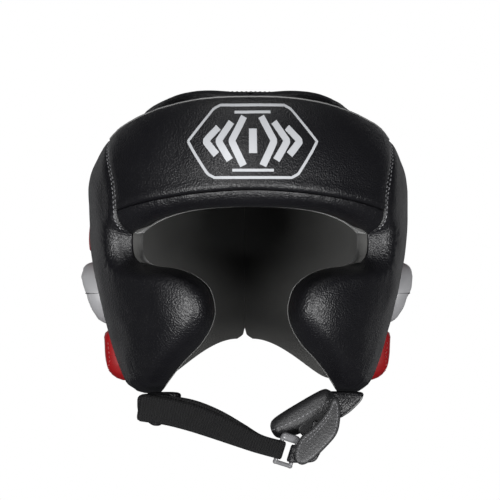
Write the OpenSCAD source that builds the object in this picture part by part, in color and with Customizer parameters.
/* [Shell] */
// Half of the shell's width over the temples
half_width = 122; // [112:1:126]
// Depth of the shell from its middle to the brow
front_depth = 128; // [120:1:134]
// Depth of the shell from its middle to the nape
rear_depth = 126; // [118:1:132]
// Height above the brow edge at which the shell is widest
widest_z = 12; // [10:1:14]
// Thickness of the forehead, side and rear pads
pad_t = 26; // [22:1:28]
// Thickness of the crown pads
crown_t = 16; // [13:1:18]

/* [Layers] */
// Thickness of the suede lining
lining_t = 1.6; // [1:0.1:2]
// Thickness of the leather cover with its backing
cover_t = 2.6; // [2:0.1:3]
// Width over which a free edge rounds off
edge_round = 14; // [12:1:16]
// Dip of a sewn seam, as a share of the pad's thickness
seam_dip = 0.1; // [0.05:0.01:0.15]

/* [Ears] */
// Half width of the ear pad along the shell
ear_half_w = 25; // [23:1:26]
// Half height of the ear pad
ear_half_h = 25; // [23:1:28]
// How far the ear pad stands above the shell
ear_proud = 7; // [5:1:9]

/* [Straps] */
// Width of the chin webbing
webbing_w = 20; // [18:1:22]
// Width of the chin webbing where it loops through the ring
webbing_end_w = 14; // [12:1:16]
// Thickness of one layer of the webbing
webbing_t = 1.5; // [1.2:0.1:1.7]
// Width of the rear closure strap
rear_strap_w = 50; // [44:1:54]
// Width of the crown tab
crown_tab_w = 30; // [26:1:34]
// Radius of the ring buckle's wire
ring_r = 1.6; // [1.4:0.1:1.7]

/* [Hidden] */
$fn = 32;
MM_PER_DEG = 2.14;
FRONT_C = 102;
SIDE_C = 75.5;
DROP_SPAN = 154;
EDGE_STEPS = [0, 2.5, 7, 14];
LEATHER = [0.09, 0.09, 0.1];
RED = [0.62, 0.03, 0.05];
GREY = [0.64, 0.64, 0.66];
SUEDE = [0.42, 0.42, 0.4];
FOAM = [0.75, 0.73, 0.6];
TAPE = [0.14, 0.14, 0.14];
PLASTIC = [0.45, 0.45, 0.47];

// ---- Numbers and grids ----

function mix(a, b, t) = a + (b - a) * t;
function clamp(t) = min(1, max(0, t));
function smooth(t) = let(u = clamp(t)) u * u * (3 - 2 * u);
function quarter_round(t) = sqrt(1 - pow(1 - clamp(t), 2));
function flat(rows) = [for (row = rows) each row];

// Distance from a point to a segment and to a chain of points
function to_segment(p, a, b) =
    let(d = b - a, t = clamp((p - a) * d / (d * d)))
    norm(p - a - t * d);
function to_chain(p, chain) =
    min([for (i = [0 : len(chain) - 2]) to_segment(p, chain[i], chain[i + 1])]);

// Stations along a length: close together near both ends, even between
function stations(length, middle) = [
    each [for (s = EDGE_STEPS) s / length],
    each [for (i = [1 : middle]) mix(EDGE_STEPS[3] / length, 1 - EDGE_STEPS[3] / length, i / (middle + 1))],
    each [for (i = [3 : -1 : 0]) 1 - EDGE_STEPS[i] / length]
];

// A grid without its outer rings
function inner_grid(rows, rings) = [
    for (i = [rings : len(rows) - 1 - rings])
        [for (j = [rings : len(rows[0]) - 1 - rings]) rows[i][j]]
];

// A closed solid between two grids of points of the same size
module slab(top, bottom, closed = false) {
    n = len(top);
    m = len(top[0]);
    half = n * m;
    last = closed ? m - 1 : m - 2;
    function t(i, j) = i * m + j % m;
    function b(i, j) = half + t(i, j);
    polyhedron(
        points = concat(flat(top), flat(bottom)),
        faces = concat(
            [for (i = [0 : n - 2], j = [0 : last])
                each [[t(i, j), t(i, j + 1), t(i + 1, j + 1)], [t(i, j), t(i + 1, j + 1), t(i + 1, j)]]],
            [for (i = [0 : n - 2], j = [0 : last])
                each [[b(i, j), b(i + 1, j + 1), b(i, j + 1)], [b(i, j), b(i + 1, j), b(i + 1, j + 1)]]],
            [for (j = [0 : last])
                each [[t(0, j), b(0, j), b(0, j + 1)], [t(0, j), b(0, j + 1), t(0, j + 1)]]],
            [for (j = [0 : last])
                each [[t(n - 1, j), b(n - 1, j + 1), b(n - 1, j)], [t(n - 1, j), t(n - 1, j + 1), b(n - 1, j + 1)]]],
            closed ? [] : [for (i = [0 : n - 2])
                each [[t(i, 0), b(i + 1, 0), b(i, 0)], [t(i, 0), t(i + 1, 0), b(i + 1, 0)]]],
            closed ? [] : [for (i = [0 : n - 2])
                each [[t(i, m - 1), b(i, m - 1), b(i + 1, m - 1)], [t(i, m - 1), b(i + 1, m - 1), t(i + 1, m - 1)]]]
        )
    );
}

// ---- The shell's surface: a is the direction in degrees, 0 at the face and 90 at the right ear ----

// How much of the widest girth is left at a height
function girth(a, z) =
    let(side = smooth((abs(a) - 58) / 30), t = max(0, widest_z - z) / DROP_SPAN)
    z > widest_z
        ? sqrt(1 - pow((z - widest_z) / mix(FRONT_C, SIDE_C, side), mix(2.4, 2, side))) + rear_swell(a, z)
        : 1 - 0.27 * pow(t, 2.1) + rear_swell(a, z);

// How far the rear panels stand out beyond the sides, as a share of the girth
function rear_swell(a, z) =
    smooth((abs(a) - 88) / 10) * (0.012 + 0.03 * smooth((2 - z) / 30) + 0.05 * smooth((-70 - z) / 60));

// How far the thickness leans back from level towards the top of the shell
function lean(z) = 25 * smooth((z - widest_z) / 70);

// The pads grow thinner towards the chin
function fullness(z) = 1 - 0.3 * smooth((-80 - z) / 60);

// A point at height h above the lining side of the shell
function shell_point(a, z, h) =
    let(
        g = girth(a, z),
        depth = abs(a) < 90 ? front_depth : rear_depth,
        outer = [half_width * g * sin(a), -depth * g * cos(a), z],
        n = [sin(a) * cos(lean(z)), -cos(a) * cos(lean(z)), sin(lean(z))]
    )
    outer + (h - pad_t) * fullness(z) * n;

function on_map(p) = [p[0] * MM_PER_DEG, p[1]];
function map_chain(chain) = [for (p = chain) on_map(p)];

// Height of a pad at a point of the map: round at its free edges, dipped at its seams
function pad_height(p, free, seams, top = pad_t) =
    let(
        q = on_map(p),
        round_off = len(free) == 0 ? 1 : quarter_round(to_chain(q, free) / edge_round),
        dip = len(seams) == 0 ? 1 : quarter_round(to_chain(q, seams) / 8)
    )
    max(lining_t + 0.6, top * round_off * (1 - seam_dip * (1 - dip)));

// The three layers of a pad from its grid of [a, z] and its grid of heights
function raised(map, heights) = [
    for (i = [0 : len(map) - 1])
        [for (j = [0 : len(map[0]) - 1]) shell_point(map[i][j][0], map[i][j][1], heights[i][j])]
];
function level(map, h) = [for (row = map) [for (p = row) shell_point(p[0], p[1], h)]];
function is_rim(i, j, n, m) = i < 2 || j < 2 || i > n - 3 || j > m - 3;
function cover_underside(heights) =
    let(n = len(heights), m = len(heights[0]))
    [for (i = [0 : n - 1])
        [for (j = [0 : m - 1]) is_rim(i, j, n, m) ? lining_t + 0.1 : heights[i][j] - cover_t]];
function foam_top(heights) = [for (row = heights) [for (h = row) max(lining_t + 0.8, h - cover_t - 0.3)]];

module cover_layer(map, heights) {
    slab(raised(map, heights), raised(map, cover_underside(heights)));
}
module foam_layer(map, heights) {
    core = inner_grid(map, 2);
    slab(raised(core, foam_top(inner_grid(heights, 2))), level(core, lining_t + 0.3));
}
module lining_layer(map) {
    slab(level(map, lining_t), level(map, 0));
}
module pad_layer(layer, map, heights) {
    if (layer == "cover") cover_layer(map, heights);
    if (layer == "foam") foam_layer(map, heights);
    if (layer == "lining") lining_layer(map);
}

// ---- Forehead ----

CREASE_A = 56;
CREASE_END_Z = -2.3;
CORNER_A = 70;
CORNER_Z = 52;
BROW_A = 57;
function crease_z(u) = widest_z - (widest_z - CREASE_END_Z) * pow(abs(u), 1.7);
function brow_edge_z(u) = -19 * pow(abs(u), 2.6);
function forehead_top_z(u) = 82 - (82 - CORNER_Z) * pow(abs(u), 2.6);
function seam_a(v) = CREASE_A + (CORNER_A - CREASE_A) * v * v;
function forehead_p(u, v) = [u * (seam_a(v) - 0.15), mix(crease_z(u) + 0.3, forehead_top_z(u), v)];

forehead_u = [for (s = stations(2 * CREASE_A * MM_PER_DEG, 9)) 2 * s - 1];
forehead_v = [0, 0.05, 0.12, 0.3, 0.5, 0.7, 0.86, 0.94, 1];
forehead_map = [for (v = forehead_v) [for (u = forehead_u) forehead_p(u, v)]];
forehead_seams = map_chain(concat(
    [for (v = [0 : 0.25 : 1]) forehead_p(-1, v)],
    [for (u = [-0.75 : 0.25 : 0.75]) forehead_p(u, 1)],
    [for (v = [1 : -0.25 : 0]) forehead_p(1, v)]
));
forehead_heights = [for (row = forehead_map) [for (p = row) pad_height(p, [], forehead_seams)]];

module forehead(layer) {
    pad_layer(layer, forehead_map, forehead_heights);
}

// The rolled edge under the brow, from the crease down to the eyes
function brow_p(u, v) = [u * mix(BROW_A, CREASE_A - 0.15, v), mix(brow_edge_z(u), crease_z(u) - 0.2, v)];
module brow_roll() {
    steps = [0, 0.12, 0.35, 0.65, 1];
    map = [for (v = steps) [for (u = forehead_u) brow_p(u, v)]];
    heights = [for (v = steps) [for (u = forehead_u) max(3, (pad_t - 0.3) * quarter_round(v))]];
    slab(raised(map, heights), level(map, 0));
}

// The thin piping on the forehead's top edge
module forehead_piping() {
    sides = 6;
    r = 1.1;
    angles = [for (i = [0 : sides - 1]) 360 * i / sides];
    turns = [for (u = [-0.97 : 0.0606 : 0.971]) u];
    core = [for (u = turns)
        let(p = forehead_p(u, 1), out = [sin(p[0]), -cos(p[0]), 0])
        [shell_point(p[0], p[1], pad_t * (1 - seam_dip)) + [0, 0, r + 0.2] - 0.6 * out, out]];
    rings = [for (c = core) [for (t = angles) c[0] + r * (cos(t) * c[1] + sin(t) * [0, 0, 1])]];
    tube(rings);
}

// A tube or bar through rings of points
module tube(rings) {
    n = len(rings);
    m = len(rings[0]);
    function at(i, j) = i * m + j % m;
    polyhedron(
        points = flat(rings),
        faces = concat(
            [for (i = [0 : n - 2], j = [0 : m - 1])
                each [[at(i, j), at(i, j + 1), at(i + 1, j + 1)], [at(i, j), at(i + 1, j + 1), at(i + 1, j)]]],
            [[for (j = [m - 1 : -1 : 0]) j]],
            [[for (j = [0 : m - 1]) (n - 1) * m + j]]
        )
    );
}

// ---- Sides with their cheek pads, drawn on the right ----

// The inner edge from the eye's corner round the cheek to its bottom tip, as [z, a]
CHEEK_EDGE = [
    [-20, 57.4], [-28, 57.9], [-36, 57.3], [-41, 54.5], [-43.6, 49], [-44.8, 40], [-46.8, 32.5],
    [-51, 26], [-57, 21], [-65, 18.4], [-77, 17.8], [-89, 20.8], [-101, 27.3], [-111.5, 36.2],
    [-123, 46.5], [-131, 55.5], [-136, 63], [-140, 72]
];
function side_in_a(z) =
    z > CREASE_END_Z ? seam_a((z - CREASE_END_Z) / (CORNER_Z - CREASE_END_Z)) + 0.15
    : z > -20 ? mix(CREASE_A, BROW_A, pow((CREASE_END_Z - z) / (20 + CREASE_END_Z), 1.5)) + 0.15
    : -lookup(-z, [for (p = CHEEK_EDGE) [-p[0], -p[1]]]);
SIDE_REAR_A = 90.6;
function side_out_a(z) = SIDE_REAR_A - 9 * pow(clamp((-120 - z) / 20), 2);
function side_lift(a, z) = z < widest_z ? 0 : 7 * smooth((a - CORNER_A) / 20) * (z - widest_z) / (CORNER_Z - widest_z);
function side_p(f, z) = let(a = mix(side_in_a(z), side_out_a(z), f)) [a, z + side_lift(a, z)];

side_rows = [
    52, 49.5, 45, 38, 25, 12, 2, -6, -13, -20, -28, -36, -41, -43.6, -46, -50, -57, -66, -77, -89,
    -101, -112, -122, -129, -134, -138, -140
];
function side_row(z) = [
    for (f = stations((side_out_a(z) - side_in_a(z)) * MM_PER_DEG, 2)) side_p(f, z)
];
side_map = [for (z = side_rows) side_row(z)];
side_free = map_chain(concat(
    [[57.2, -17]],
    [for (p = CHEEK_EDGE) [p[1], p[0]]],
    [[81, -140]]
));
side_seams = map_chain(concat(
    [for (z = [-14 : 11 : 52]) side_p(0, z)],
    [for (f = [0 : 0.25 : 1]) side_p(f, CORNER_Z)],
    [for (z = [40 : -20 : -140]) side_p(1, z)]
));
side_heights = [for (row = side_map) [for (p = row) pad_height(p, side_free, side_seams)]];

module right_side(layer) {
    pad_layer(layer, side_map, side_heights);
}

// ---- Rear panels with the notch for the ear, drawn on the right ----

EAR_Z = -64.5;
EAR_A = 91.6 + ear_half_w / MM_PER_DEG;
REAR_IN_A = 91.3;
REAR_OUT_A = 179.5;
REAR_TOP = 59;
REAR_BOTTOM = -132;
NOTCH_H = ear_half_h + 1.5;
NOTCH_A = 2 * ear_half_w / MM_PER_DEG + 2.6;
function rear_top_z(a) = REAR_TOP - 2 * smooth((a - 100) / 76);
function rear_bottom_z(a) = REAR_BOTTOM + 30 * smooth((a - 128) / 48);
function rear_in_a(z) =
    REAR_IN_A
    + NOTCH_A * pow(max(0, 1 - pow(abs(z - EAR_Z) / NOTCH_H, 3)), 1 / 3)
    + 8 * pow(clamp((-116 - z) / 16), 2);
function rear_z(a, z) = mix(rear_top_z(a), rear_bottom_z(a), (REAR_TOP - z) / (REAR_TOP - REAR_BOTTOM));
function rear_p(f, z) = let(a = mix(rear_in_a(z), REAR_OUT_A, f)) [a, rear_z(a, z)];

rear_rows = [
    59, 56.5, 52, 44, 30, 14, -4, -18, EAR_Z + NOTCH_H + 4, EAR_Z + NOTCH_H, EAR_Z + NOTCH_H - 1.5,
    EAR_Z + NOTCH_H - 3, EAR_Z + NOTCH_H - 6, EAR_Z + 14, EAR_Z, EAR_Z - 14, EAR_Z - NOTCH_H + 6,
    EAR_Z - NOTCH_H + 3, EAR_Z - NOTCH_H + 1.5,
    EAR_Z - NOTCH_H, EAR_Z - NOTCH_H - 5, -108, -118, -125, -129.5, -132
];
function rear_row(z) = [for (f = stations((REAR_OUT_A - rear_in_a(z)) * MM_PER_DEG, 2)) rear_p(f, z)];
rear_map = [for (z = rear_rows) rear_row(z)];
rear_edge = map_chain(concat(
    [for (f = [1 : -0.2 : 0]) rear_p(f, REAR_TOP)],
    [for (z = rear_rows) rear_p(0, z)],
    [for (f = [0 : 0.2 : 1]) rear_p(f, REAR_BOTTOM)],
    [for (z = [REAR_BOTTOM : 28 : REAR_TOP]) rear_p(1, z)]
));
rear_heights = [for (row = rear_map) [for (p = row)
    let(d = to_chain(on_map(p), rear_edge))
    max(lining_t + 0.6, (pad_t - 2) * (0.45 + 0.55 * quarter_round(d / edge_round)))]];

module right_rear(layer) {
    pad_layer(layer, rear_map, rear_heights);
}

// ---- Ear pads, drawn on the right ----

EAR_HOLE_W = 11;
EAR_HOLE_H = 16;
function ear_p(t, s) = [
    EAR_A + mix(EAR_HOLE_W, ear_half_w, s) * cos(t) / MM_PER_DEG,
    EAR_Z + mix(EAR_HOLE_H, ear_half_h, s) * sin(t)
];
module right_ear_pad_shape() {
    ring_steps = [0, 0.12, 0.35, 0.65, 0.88, 1];
    turns = [for (i = [0 : 23]) 15 * i];
    top = [for (s = ring_steps) [for (t = turns)
        let(p = ear_p(t, s), h = 8 + (pad_t - 8 + ear_proud) * sqrt(sin(180 * clamp(s))))
        shell_point(p[0], p[1], h)]];
    under = [for (s = ring_steps) [for (t = turns) let(p = ear_p(t, s)) shell_point(p[0], p[1], 2)]];
    slab(under, top, true);
}

// ---- Crown: two pads over the top of the head ----

CROWN_X = 88;
CROWN_FRONT = 80;
CROWN_REAR = 102;
CROWN_MID = 0.3;
CROWN_RISE = 76.5;
CROWN_SPREAD = 112;
function crown_hump(x) = 2.2 * exp(-pow((abs(x) - 42) / 24, 2));
function crown_dome(x, y) =
    widest_z + CROWN_RISE * sqrt(max(0.01, 1 - pow(abs(x) / CROWN_SPREAD, 3.2) - pow(abs(y) / 122, 4.5)));
function crown_point(x, y, h, hump = true) =
    let(p = [x, y, crown_dome(x, y) + (hump ? crown_hump(x) : 2.2)], n = p - [0, 0, -20])
    p + (h - crown_t) * n / norm(n);
function crown_y(t) = t < 90 ? -CROWN_FRONT * cos(t) : -CROWN_REAR * cos(t);
function crown_xy(t, f) = [mix(CROWN_MID, CROWN_X, f * sin(t)), crown_y(t)];

crown_turns = [8, 12, 18, 28, 45, 65, 90, 115, 135, 152, 162, 168, 172];
crown_map = [for (t = crown_turns)
    [for (f = stations((CROWN_X - CROWN_MID) * max(0.5, sin(t)), 2)) crown_xy(t, f)]];
crown_rim = [for (t = [8, 18, 28, 45, 65, 90, 115, 135, 152, 172]) crown_xy(t, 1)];
crown_heights = [for (row = crown_map) [for (p = row)
    let(rim = quarter_round(to_chain(p, crown_rim) / 12), mid = quarter_round((p[0] - CROWN_MID) / 10))
    crown_t * (0.4 + 0.6 * rim) * (0.87 + 0.13 * mid)]];
function crown_raised(map, heights) = [
    for (i = [0 : len(map) - 1])
        [for (j = [0 : len(map[0]) - 1]) crown_point(map[i][j][0], map[i][j][1], heights[i][j])]
];
function crown_level(map, h) = [for (row = map) [for (p = row) crown_point(p[0], p[1], h)]];

module right_crown(layer) {
    if (layer == "cover")
        slab(crown_raised(crown_map, cover_underside(crown_heights)), crown_raised(crown_map, crown_heights));
    if (layer == "foam")
        slab(
            crown_level(inner_grid(crown_map, 2), lining_t + 0.3),
            crown_raised(inner_grid(crown_map, 2), foam_top(inner_grid(crown_heights, 2)))
        );
    if (layer == "lining") slab(crown_level(crown_map, 0), crown_level(crown_map, lining_t));
}

// A flat band that follows the crown from x0 to x1, centred on y
module crown_band(x0, x1, y, width, h0, h1) {
    steps = [for (i = [0 : 8]) mix(x0, x1, i / 8)];
    edges = [y - width / 2, y, y + width / 2];
    slab(
        [for (x = steps) [for (v = edges) crown_point(x, v, crown_t + h0, false)]],
        [for (x = steps) [for (v = edges) crown_point(x, v, crown_t + h1, false)]]
    );
}

TAB_Y = 62;
TAB_X = 34;
module crown_tab() color(LEATHER) crown_band(-TAB_X, TAB_X, TAB_Y, crown_tab_w, 2.3, 3.9);
module crown_tab_anchor() color(LEATHER) crown_band(-TAB_X - 16, -TAB_X - 1, TAB_Y, crown_tab_w + 6, 0.4, 3.4);
module crown_hook_patch() color(TAPE) crown_band(9, TAB_X - 2, TAB_Y, crown_tab_w - 6, 1.25, 1.95);
module crown_loop_patch() color(TAPE) crown_band(7, TAB_X + 12, TAB_Y, crown_tab_w - 2, 0.2, 0.9);

// ---- Rear closure: a strap that laps over the split at the back ----

STRAP_Z = -40;
STRAP_A = 150;
function rear_band_point(a, z, h) = shell_point(a > 180 ? a - 360 : a, z, pad_t - 2 + h);
module rear_band(a0, a1, z, width, h0, h1) {
    steps = [for (i = [0 : 12]) mix(a0, a1, i / 12)];
    edges = [for (k = [-1 : 0.25 : 1]) z + k * width / 2];
    slab(
        [for (a = steps) [for (v = edges) rear_band_point(a, v, h0)]],
        [for (a = steps) [for (v = edges) rear_band_point(a, v, h1)]]
    );
}
module rear_strap() color(TAPE) rear_band(STRAP_A, 209, STRAP_Z, rear_strap_w, 3.7, 5.7);
module rear_strap_anchor() color(LEATHER) rear_band(STRAP_A - 9, STRAP_A - 1.2, STRAP_Z, rear_strap_w + 6, 0.5, 3.2);
module rear_hook_patch() color(TAPE) rear_band(187, 208, STRAP_Z, rear_strap_w - 6, 2.55, 3.2);
module rear_loop_patch() color(TAPE) rear_band(185, 214, STRAP_Z, rear_strap_w - 2, 0.35, 1);

// ---- Chin closure: every piece lies in layers one in front of the other ----

PAD_BACK_Y = -49;
PAD_FRONT_Y = -59;
RING_Y = -65;
RING_LEFT = [21, -179];
RING_RIGHT = [32, -182.5];
RING_BAR = webbing_end_w + 2 * ring_r + 1.4;
LOOP_R = ring_r + 0.5;

// A flat piece in the XZ plane from y = from to y = to
module plate(from, to) {
    translate([0, max(from, to), 0]) rotate([90, 0, 0]) linear_extrude(abs(to - from)) children();
}
// A strap outline along a chain of [x, z] points with one width per point
function strap_side(path, widths, sign) = [
    for (i = [0 : len(path) - 1])
        let(
            d = path[min(i + 1, len(path) - 1)] - path[max(i - 1, 0)],
            side = [-d[1], d[0]] / norm(d)
        )
        path[i] + sign * side * widths[i] / 2
];
function strap_outline(path, widths) =
    let(upper = strap_side(path, widths, 1), lower = strap_side(path, widths, -1))
    concat(upper, [for (i = [len(lower) - 1 : -1 : 0]) lower[i]]);

// A band that follows stations of [x, y, z], each with its thickness direction and its width
module ribbon(course, widths, thick) {
    rings = [for (i = [0 : len(course) - 1])
        let(s = course[i], c = s[0], across = s[1] * widths[i] / 2, out = s[2] * thick / 2)
        [c + across + out, c - across + out, c - across - out, c + across - out]];
    tube(rings);
}

// The webbing runs from its anchor to the ring, round the ring's bar and back to its folded end
WEBBING_PATH = [[-79, -148.5], [-62, -151], [-44, -155.5], [-26, -162], [-8, -169.5], [6, -174.8]];
WEBBING_Y = [-60.6, -61.2, -62, -62.8, -63.2, -62.9];
ring_dir = (RING_RIGHT - RING_LEFT) / norm(RING_RIGHT - RING_LEFT);
ring_across = [-ring_dir[1], 0, ring_dir[0]];
function chain_dir(chain, i) =
    let(n = len(chain) - 1, d = chain[min(i + 1, n)] - chain[max(i - 1, 0)])
    d / norm(d);
function station(chain, i, y, out) =
    let(d = chain_dir(chain, i))
    [[chain[i][0], y, chain[i][1]], [-d[1], 0, d[0]], [0, out, 0]];
bend_r = LOOP_R + webbing_t / 2;
bend = [for (t = [-90 : 30 : 90])
    let(out = [cos(t) * ring_dir[0], sin(t), cos(t) * ring_dir[1]])
    [[RING_LEFT[0], RING_Y, RING_LEFT[1]] + bend_r * [out[0], -out[1], out[2]], ring_across, [out[0], -out[1], out[2]]]];
webbing_course = concat(
    [for (i = [0 : 5]) station(WEBBING_PATH, i, WEBBING_Y[i], 1)],
    bend,
    [for (i = [5 : -1 : 0]) station(WEBBING_PATH, i, WEBBING_Y[i] - webbing_t - (i == 5 ? 2.2 : 0.35), -1)]
);
// Full width over the first half, then gathered in towards the ring
webbing_run = [for (i = [0 : 5]) mix(webbing_w, webbing_end_w, smooth((i - 2) / 3))];
webbing_widths = concat(webbing_run, [for (s = bend) webbing_end_w], [for (i = [5 : -1 : 0]) webbing_run[i]]);
module chin_webbing() color(TAPE) ribbon(webbing_course, webbing_widths, webbing_t);

module bar(p, q) {
    d = q - p;
    translate(p)
        rotate([0, acos(d[2] / norm(d)), atan2(d[1], d[0])])
        cylinder(r = ring_r, h = norm(d));
}
module ring_buckle() color(PLASTIC) {
    half = RING_BAR / 2 * ring_across;
    left = [RING_LEFT[0], RING_Y, RING_LEFT[1]];
    right = [RING_RIGHT[0], RING_Y, RING_RIGHT[1]];
    corners = [left - half, left + half, right + half, right - half];
    for (i = [0 : 3]) {
        bar(corners[i], corners[(i + 1) % 4]);
        translate(corners[i]) sphere(r = ring_r + 0.2);
    }
}

// The tab folds round the ring's other bar and curves up onto the loop patch behind the flap
TAB_PATH = [[41.5, -183.8], [46, -179], [49.5, -171], [52.5, -160]];
tab_w = 13;
tab_t = 1.4;
tab_bend_r = LOOP_R + 0.3 + tab_t / 2;
tab_bend = [for (t = [-90 : 30 : 90])
    let(out = [-cos(t) * ring_dir[0], -sin(t), -cos(t) * ring_dir[1]])
    [[RING_RIGHT[0], RING_Y, RING_RIGHT[1]] + tab_bend_r * out, ring_across, out]];
tab_course = concat(
    [for (i = [3 : -1 : 0]) station(TAB_PATH, i, -62.7, 1)],
    tab_bend,
    [for (i = [0 : 1]) station(TAB_PATH, i, -65.6 + 1.1 * i, -1)]
);
module hook_tab() color(LEATHER) ribbon(tab_course, [for (s = tab_course) tab_w], tab_t);
module hook_tab_patch() color(TAPE)
    plate(-60.9, -61.7) polygon(strap_outline([for (i = [1 : 3]) TAB_PATH[i]], [12, 12, 12]));

PAD_PATH = [[63, -144], [54, -149], [42, -156], [29, -162.5], [17, -167]];
PAD_WIDTHS = [18, 21, 22, 20, 13];
module chin_strap_pad() color(LEATHER)
    plate(PAD_BACK_Y, PAD_FRONT_Y) offset(3) offset(-3) polygon(strap_outline(PAD_PATH, PAD_WIDTHS));
module chin_loop_patch() color(TAPE)
    plate(PAD_FRONT_Y, PAD_FRONT_Y - 1.4) offset(2) offset(-2)
        polygon(strap_outline([[58, -149], [47, -157], [38, -165]], [17, 24, 20]));

// The flap hangs from its sewn top and stands a little ajar at its tip
FLAP_TOP = [60, -143.5];
FLAP_TIP = [41, -181];
FLAP_TILT = 7;
flap_dir = (FLAP_TIP - FLAP_TOP) / norm(FLAP_TIP - FLAP_TOP);
flap_turn = atan2(flap_dir[0], -flap_dir[1]);
module flap_plate(from, to, inset) {
    reach = norm(FLAP_TIP - FLAP_TOP);
    translate([FLAP_TOP[0], -65.6, FLAP_TOP[1]])
        rotate([0, -flap_turn, 0])
        rotate([-FLAP_TILT, 0, 0])
        plate(from, to)
        hull() {
            translate([0, -4 - inset]) circle(r = 7 - inset);
            translate([1, -reach * 0.55]) circle(r = 12.5 - inset);
            translate([0, -reach]) circle(r = 10 - inset);
        }
}
module cover_flap() color(LEATHER) flap_plate(-0.9, -3, 0);
module flap_lining() color(SUEDE) flap_plate(0, -0.85, 1.2);

module left_anchor_tab() color(LEATHER)
    plate(-54, -58.6) offset(2) offset(-2)
        polygon([[-84, -140.4], [-60, -140.4], [-60, -149], [-66, -162], [-73, -162], [-84, -152]]);
module left_gusset() color(LEATHER)
    plate(-49, -53.4) offset(1.5) offset(-1.5) polygon([[-78, -140.4], [-50, -140.4], [-54, -148], [-64, -151], [-76, -147]]);
module right_gusset() color(LEATHER)
    plate(-43, -48.4) offset(1.5) offset(-1.5) polygon([[50, -140.4], [84, -140.4], [86, -152], [72, -157], [60, -150]]);

// ---- The assembly ----

module forehead_cover() color(LEATHER) forehead("cover");
module forehead_foam() color(FOAM) forehead("foam");
module forehead_lining() color(SUEDE) forehead("lining");
module brow() color(LEATHER) brow_roll();
module piping() color(GREY) forehead_piping();
module on_left() mirror([1, 0, 0]) children();

forehead_cover();
forehead_foam();
forehead_lining();
piping();  // forehead_piping
brow();  // brow_roll
on_left() color(LEATHER) right_side("cover");  // left_side_cover
on_left() color(FOAM) right_side("foam");  // left_side_foam
on_left() color(SUEDE) right_side("lining");  // left_side_lining
color(LEATHER) right_side("cover");  // right_side_cover
color(FOAM) right_side("foam");  // right_side_foam
color(SUEDE) right_side("lining");  // right_side_lining
on_left() color(RED) right_rear("cover");  // left_rear_cover
on_left() color(FOAM) right_rear("foam");  // left_rear_foam
on_left() color(SUEDE) right_rear("lining");  // left_rear_lining
color(RED) right_rear("cover");  // right_rear_cover
color(FOAM) right_rear("foam");  // right_rear_foam
color(SUEDE) right_rear("lining");  // right_rear_lining
on_left() color(GREY) right_ear_pad_shape();  // left_ear_pad
color(GREY) right_ear_pad_shape();  // right_ear_pad
on_left() color(LEATHER) right_crown("cover");  // left_crown_cover
on_left() color(FOAM) right_crown("foam");  // left_crown_foam
on_left() color(SUEDE) right_crown("lining");  // left_crown_lining
color(LEATHER) right_crown("cover");  // right_crown_cover
color(FOAM) right_crown("foam");  // right_crown_foam
color(SUEDE) right_crown("lining");  // right_crown_lining
crown_tab();
crown_tab_anchor();
crown_hook_patch();
crown_loop_patch();
rear_strap();
rear_strap_anchor();
rear_hook_patch();
rear_loop_patch();
left_anchor_tab();
left_gusset();
chin_webbing();
ring_buckle();
hook_tab();
hook_tab_patch();
chin_strap_pad();
chin_loop_patch();
right_gusset();
cover_flap();
flap_lining();
